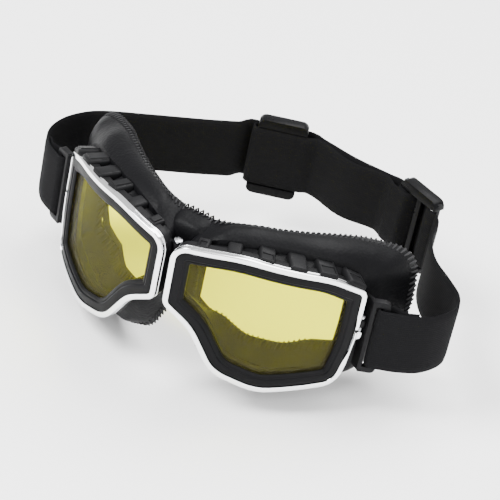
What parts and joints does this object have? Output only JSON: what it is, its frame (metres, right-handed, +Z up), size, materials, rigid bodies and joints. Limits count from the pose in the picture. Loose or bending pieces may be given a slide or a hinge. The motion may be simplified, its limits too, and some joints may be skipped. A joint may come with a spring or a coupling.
{
  "type": "motorcycle goggles",
  "caption": "Split-lens motorcycle goggles: chrome rims on vented cups, hinged at the nose, with a leather face cushion and an adjustable webbing head strap.",
  "frame": {"origin": "bottom centre of the bounding box, under the middle of the strap loop", "axes": "+X across the face, towards the right of the front view; +Y from the lenses back towards the head strap; +Z up"},
  "size_m": [0.1922, 0.1398, 0.0789],
  "materials": {
    "chrome": "mirror polished",
    "steel": "satin",
    "moulding": "satin moulded",
    "bezel": "satin moulded",
    "lens": "clear tinted yellow",
    "leather": "fine pebble grain",
    "foam": "soft open-cell foam",
    "webbing": "woven elastic",
    "slider_plastic": "satin"
  },
  "bodies": {
    "left_half": {"cup_frame_left": "moulding", "chrome_rim_left": "chrome", "lens_bezel_left": "bezel", "lens_left": "lens", "cushion_cover_left": "leather", "face_foam_left": "foam", "bridge_hinge_pin": "steel", "nose_saddle": "leather", "strap_left": "webbing"},
    "right_half": {"cup_frame_right": "moulding", "chrome_rim_right": "chrome", "lens_bezel_right": "bezel", "lens_right": "lens", "cushion_cover_right": "leather", "face_foam_right": "foam", "strap_right": "webbing"},
    "closure_left": {"rim_screw_left": "steel"},
    "closure_right": {"rim_screw_right": "steel"},
    "strap_slider_left": {"slider_left": "slider_plastic"},
    "strap_slider_right": {"slider_right": "slider_plastic"}
  },
  "joints": [
    {"name": "fold", "type": "hinge", "parent": "left_half", "child": "right_half", "pos_m": [-0.00326, -0.06105, 0.05924], "axis": [0, 0, 1], "range_deg": [-8, 14], "deforming": ["nose_saddle", "strap_left", "strap_right"]},
    {"name": "slider_left_slide", "type": "slide", "parent": "left_half", "child": "strap_slider_left", "axis": [0.9239, 0.3827, 0], "range_m": [-0.008, 0.008], "deforming": ["strap_left", "strap_right"]},
    {"name": "slider_right_slide", "type": "slide", "parent": "right_half", "child": "strap_slider_right", "axis": [0.9285, -0.3714, 0], "range_m": [-0.008, 0.008], "deforming": ["strap_left", "strap_right"]},
    {"name": "rim_screw_left_turn", "type": "hinge", "parent": "left_half", "child": "closure_left", "pos_m": [-0.07277, -0.0258, 0.04174], "axis": [0, 0, 1], "continuous": true},
    {"name": "rim_screw_right_turn", "type": "hinge", "parent": "right_half", "child": "closure_right", "pos_m": [0.06625, -0.0258, 0.04174], "axis": [0, 0, 1], "continuous": true}
  ],
  "couplings": [
    {"joint": "slider_right_slide", "follows": "slider_left_slide", "ratio": -1}
  ]
}
